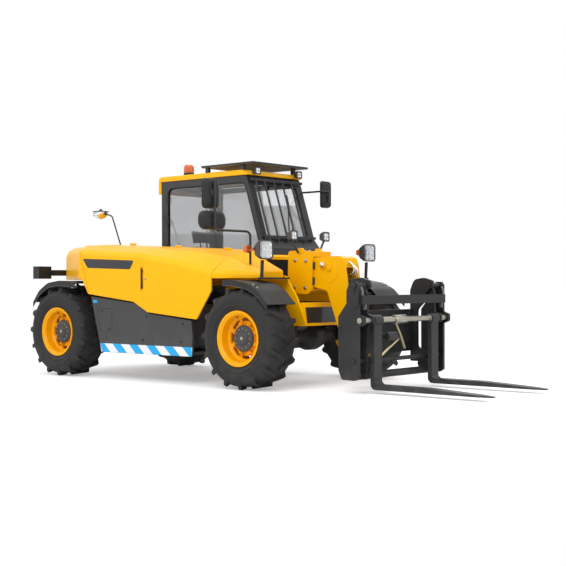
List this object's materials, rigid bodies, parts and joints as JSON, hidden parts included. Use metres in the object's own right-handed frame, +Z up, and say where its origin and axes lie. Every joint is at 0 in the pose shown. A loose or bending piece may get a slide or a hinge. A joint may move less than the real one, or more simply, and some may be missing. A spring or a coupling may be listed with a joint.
{
  "type": "telehandler",
  "caption": "Compact electric telehandler: steered wheels, side cab with a door, hinged bonnet, lifting and telescoping boom, tilting fork carriage.",
  "frame": {"origin": "on the ground under the middle of the machine's overall box", "axes": "+X towards the fork tips, +Y to the machine's left (cab side), +Z up"},
  "size_m": [4.85, 2.119, 2.029],
  "materials": {
    "yellow_paint": "gloss",
    "grey_panel": "satin",
    "black_paint": "satin",
    "cast_block": "rough",
    "black_plastic": "matte",
    "lamp_housing": "gloss",
    "signal_lens": "gloss",
    "rod_chrome": "polished",
    "zinc_shaft": "satin",
    "tinted_glass": "gloss",
    "seat_vinyl": "matte",
    "rim_paint": "gloss",
    "tyre_rubber": "matte"
  },
  "bodies": {
    "machine": {"chassis": "black_paint", "cross_members": "black_paint", "boom_tower": "black_paint", "rear_coupling": "black_paint", "battery_pack": "cast_block", "counterweight": "cast_block", "front_plates": "yellow_paint", "rear_axle": "black_paint", "front_axle": "black_paint", "side_skirt": "grey_panel", "cab_step": "grey_panel", "tail_cowl": "yellow_paint", "spine_cover": "yellow_paint", "front_wing": "yellow_paint", "cab_shell": "grey_panel", "cab_glass": "tinted_glass", "cab_roof": "yellow_paint", "operator_seat": "seat_vinyl", "control_console": "black_plastic", "roof_guard": "black_paint", "screen_bars": "black_paint", "beacon": "signal_lens", "lamp_brackets": "black_paint", "work_lamps": "lamp_housing", "signal_lamps": "signal_lens", "mirror_tubes": "black_paint", "mirrors": "black_plastic"},
    "bonnet_lid": {"bonnet": "yellow_paint", "bonnet_latch": "black_paint"},
    "door": {"cab_door": "grey_panel", "door_glass": "tinted_glass"},
    "boom": {"boom_outer": "yellow_paint", "boom_lamps": "lamp_housing"},
    "boom_tip": {"boom_inner": "yellow_paint"},
    "fork_carriage": {"carriage": "black_paint", "carriage_hooks": "black_paint", "fork_frame": "black_paint", "fork_shaft": "zinc_shaft", "forks": "black_paint"},
    "lift_cylinder": {"lift_barrel": "black_paint"},
    "lift_piston": {"lift_rod": "rod_chrome"},
    "tilt_cylinder": {"tilt_barrel": "black_paint"},
    "tilt_piston": {"tilt_rod": "rod_chrome"},
    "steer_rear_right": {"knuckle_rear_right": "black_paint", "mudguard_rear_right": "black_plastic"},
    "wheel_rear_right": {"rim_rear_right": "rim_paint", "tyre_rear_right": "tyre_rubber"},
    "steer_rear_left": {"knuckle_rear_left": "black_paint", "mudguard_rear_left": "black_plastic"},
    "wheel_rear_left": {"rim_rear_left": "rim_paint", "tyre_rear_left": "tyre_rubber"},
    "steer_front_right": {"knuckle_front_right": "black_paint", "mudguard_front_right": "black_plastic"},
    "wheel_front_right": {"rim_front_right": "rim_paint", "tyre_front_right": "tyre_rubber"},
    "steer_front_left": {"knuckle_front_left": "black_paint", "mudguard_front_left": "black_plastic"},
    "wheel_front_left": {"rim_front_left": "rim_paint", "tyre_front_left": "tyre_rubber"}
  },
  "joints": [
    {"name": "boom_lift", "type": "hinge", "parent": "machine", "child": "boom", "pos_m": [-2.324, -0.03, 1.05], "axis": [0, -1, 0], "range_deg": [0, 65]},
    {"name": "boom_extend", "type": "slide", "parent": "boom", "child": "boom_tip", "axis": [0.9994, 0, -0.0349], "range_m": [0, 2.2]},
    {"name": "carriage_tilt", "type": "hinge", "parent": "boom_tip", "child": "fork_carriage", "pos_m": [1.006, -0.03, 0.32], "axis": [0, 1, 0], "range_deg": [-15, 65]},
    {"name": "lift_cylinder_swing", "type": "hinge", "parent": "machine", "child": "lift_cylinder", "pos_m": [-2.204, -0.03, 0.52], "axis": [0, -1, 0], "range_deg": [0, 51.5]},
    {"name": "lift_rod_slide", "type": "slide", "parent": "lift_cylinder", "child": "lift_piston", "axis": [0.9575, 0, 0.2883], "range_m": [0, 0.5117]},
    {"name": "tilt_cylinder_swing", "type": "hinge", "parent": "boom_tip", "child": "tilt_cylinder", "pos_m": [0.696, -0.03, 0.985], "axis": [0, -1, 0], "range_deg": [-1.25, 5.25]},
    {"name": "tilt_rod_slide", "type": "slide", "parent": "tilt_cylinder", "child": "tilt_piston", "axis": [0.6247, 0, -0.7809], "range_m": [-0.0596, 0.2567]},
    {"name": "bonnet_open", "type": "hinge", "parent": "machine", "child": "bonnet_lid", "pos_m": [-1.654, -0.336, 1.25], "axis": [-0.9983, 0, 0.0584], "range_deg": [0, 60]},
    {"name": "cab_door_open", "type": "hinge", "parent": "machine", "child": "door", "pos_m": [-1.579, 0.89, 1.3], "axis": [0, 0, 1], "range_deg": [0, 85]},
    {"name": "steer_rear_right", "type": "hinge", "parent": "machine", "child": "steer_rear_right", "pos_m": [-1.974, -0.66, 0.415], "axis": [0, 0, -1], "range_deg": [-30, 30]},
    {"name": "spin_rear_right", "type": "hinge", "parent": "steer_rear_right", "child": "wheel_rear_right", "pos_m": [-1.974, -0.765, 0.415], "axis": [0, 1, 0], "continuous": true},
    {"name": "steer_rear_left", "type": "hinge", "parent": "machine", "child": "steer_rear_left", "pos_m": [-1.974, 0.66, 0.415], "axis": [0, 0, -1], "range_deg": [-30, 30]},
    {"name": "spin_rear_left", "type": "hinge", "parent": "steer_rear_left", "child": "wheel_rear_left", "pos_m": [-1.974, 0.765, 0.415], "axis": [0, 1, 0], "continuous": true},
    {"name": "steer_front_right", "type": "hinge", "parent": "machine", "child": "steer_front_right", "pos_m": [0.376, -0.66, 0.415], "axis": [0, 0, 1], "range_deg": [-30, 30]},
    {"name": "spin_front_right", "type": "hinge", "parent": "steer_front_right", "child": "wheel_front_right", "pos_m": [0.376, -0.765, 0.415], "axis": [0, 1, 0], "continuous": true},
    {"name": "steer_front_left", "type": "hinge", "parent": "machine", "child": "steer_front_left", "pos_m": [0.376, 0.66, 0.415], "axis": [0, 0, 1], "range_deg": [-30, 30]},
    {"name": "spin_front_left", "type": "hinge", "parent": "steer_front_left", "child": "wheel_front_left", "pos_m": [0.376, 0.765, 0.415], "axis": [0, 1, 0], "continuous": true}
  ],
  "couplings": [
    {"joint": "lift_cylinder_swing", "follows": "boom_lift", "ratio": 0.79146},
    {"joint": "lift_rod_slide", "follows": "boom_lift", "m_per_rad": 0.45017},
    {"joint": "tilt_cylinder_swing", "follows": "carriage_tilt", "ratio": 0.08},
    {"joint": "tilt_rod_slide", "follows": "carriage_tilt", "m_per_rad": 0.22587},
    {"joint": "steer_front_right", "follows": "steer_front_left", "ratio": 1},
    {"joint": "steer_rear_right", "follows": "steer_rear_left", "ratio": 1}
  ]
}
